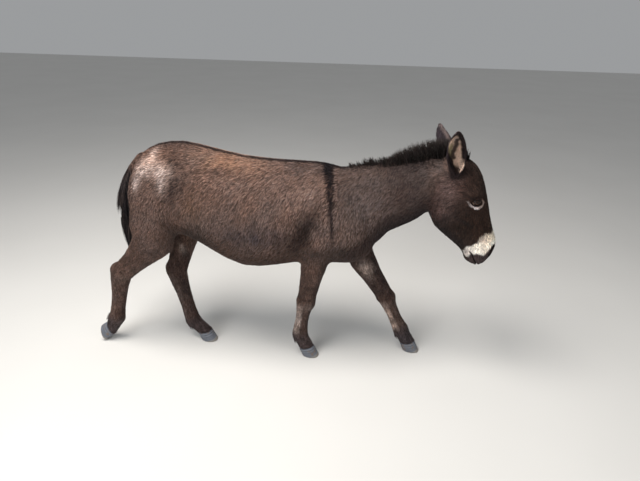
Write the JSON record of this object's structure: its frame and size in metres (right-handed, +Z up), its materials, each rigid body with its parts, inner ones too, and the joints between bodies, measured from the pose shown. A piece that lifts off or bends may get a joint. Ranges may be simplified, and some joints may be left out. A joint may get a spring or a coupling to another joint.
{
  "type": "donkey",
  "caption": "Miniature donkey, a still life-size model walking with its head low: trunk, neck, head, ears, eyes, mane, tail, jointless legs and hooves.",
  "frame": {"origin": "on the floor under the middle of the animal's box", "axes": "+X forward to the head, +Y to the animal's left, +Z up"},
  "size_m": [1.696, 0.3718, 1.0712],
  "materials": {
    "coat": "short matt fur, dark chocolate brown with a russet sheen, paler at the muzzle and eye rings",
    "ear": "short matt fur, dark outside and rim, pale pinkish hair inside",
    "dark_hair": "coarse near-black hair in tufts and locks",
    "eye": "wet, very dark brown",
    "hoof": "dull bluish slate horn with faint growth rings"
  },
  "bodies": {
    "root": {"trunk": "coat", "neck": "coat", "head": "coat", "ear_right": "ear", "ear_left": "ear", "eye_right": "eye", "eye_left": "eye", "mane": "dark_hair", "tail_dock": "coat", "tail_switch": "dark_hair", "leg_fore_right_upper": "coat", "leg_fore_right_lower": "coat", "hoof_fore_right": "hoof", "leg_fore_left_upper": "coat", "leg_fore_left_lower": "coat", "hoof_fore_left": "hoof", "leg_hind_right_upper": "coat", "leg_hind_right_lower": "coat", "hoof_hind_right": "hoof", "leg_hind_left_upper": "coat", "leg_hind_left_lower": "coat", "hoof_hind_left": "hoof"}
  },
  "joints": []
}
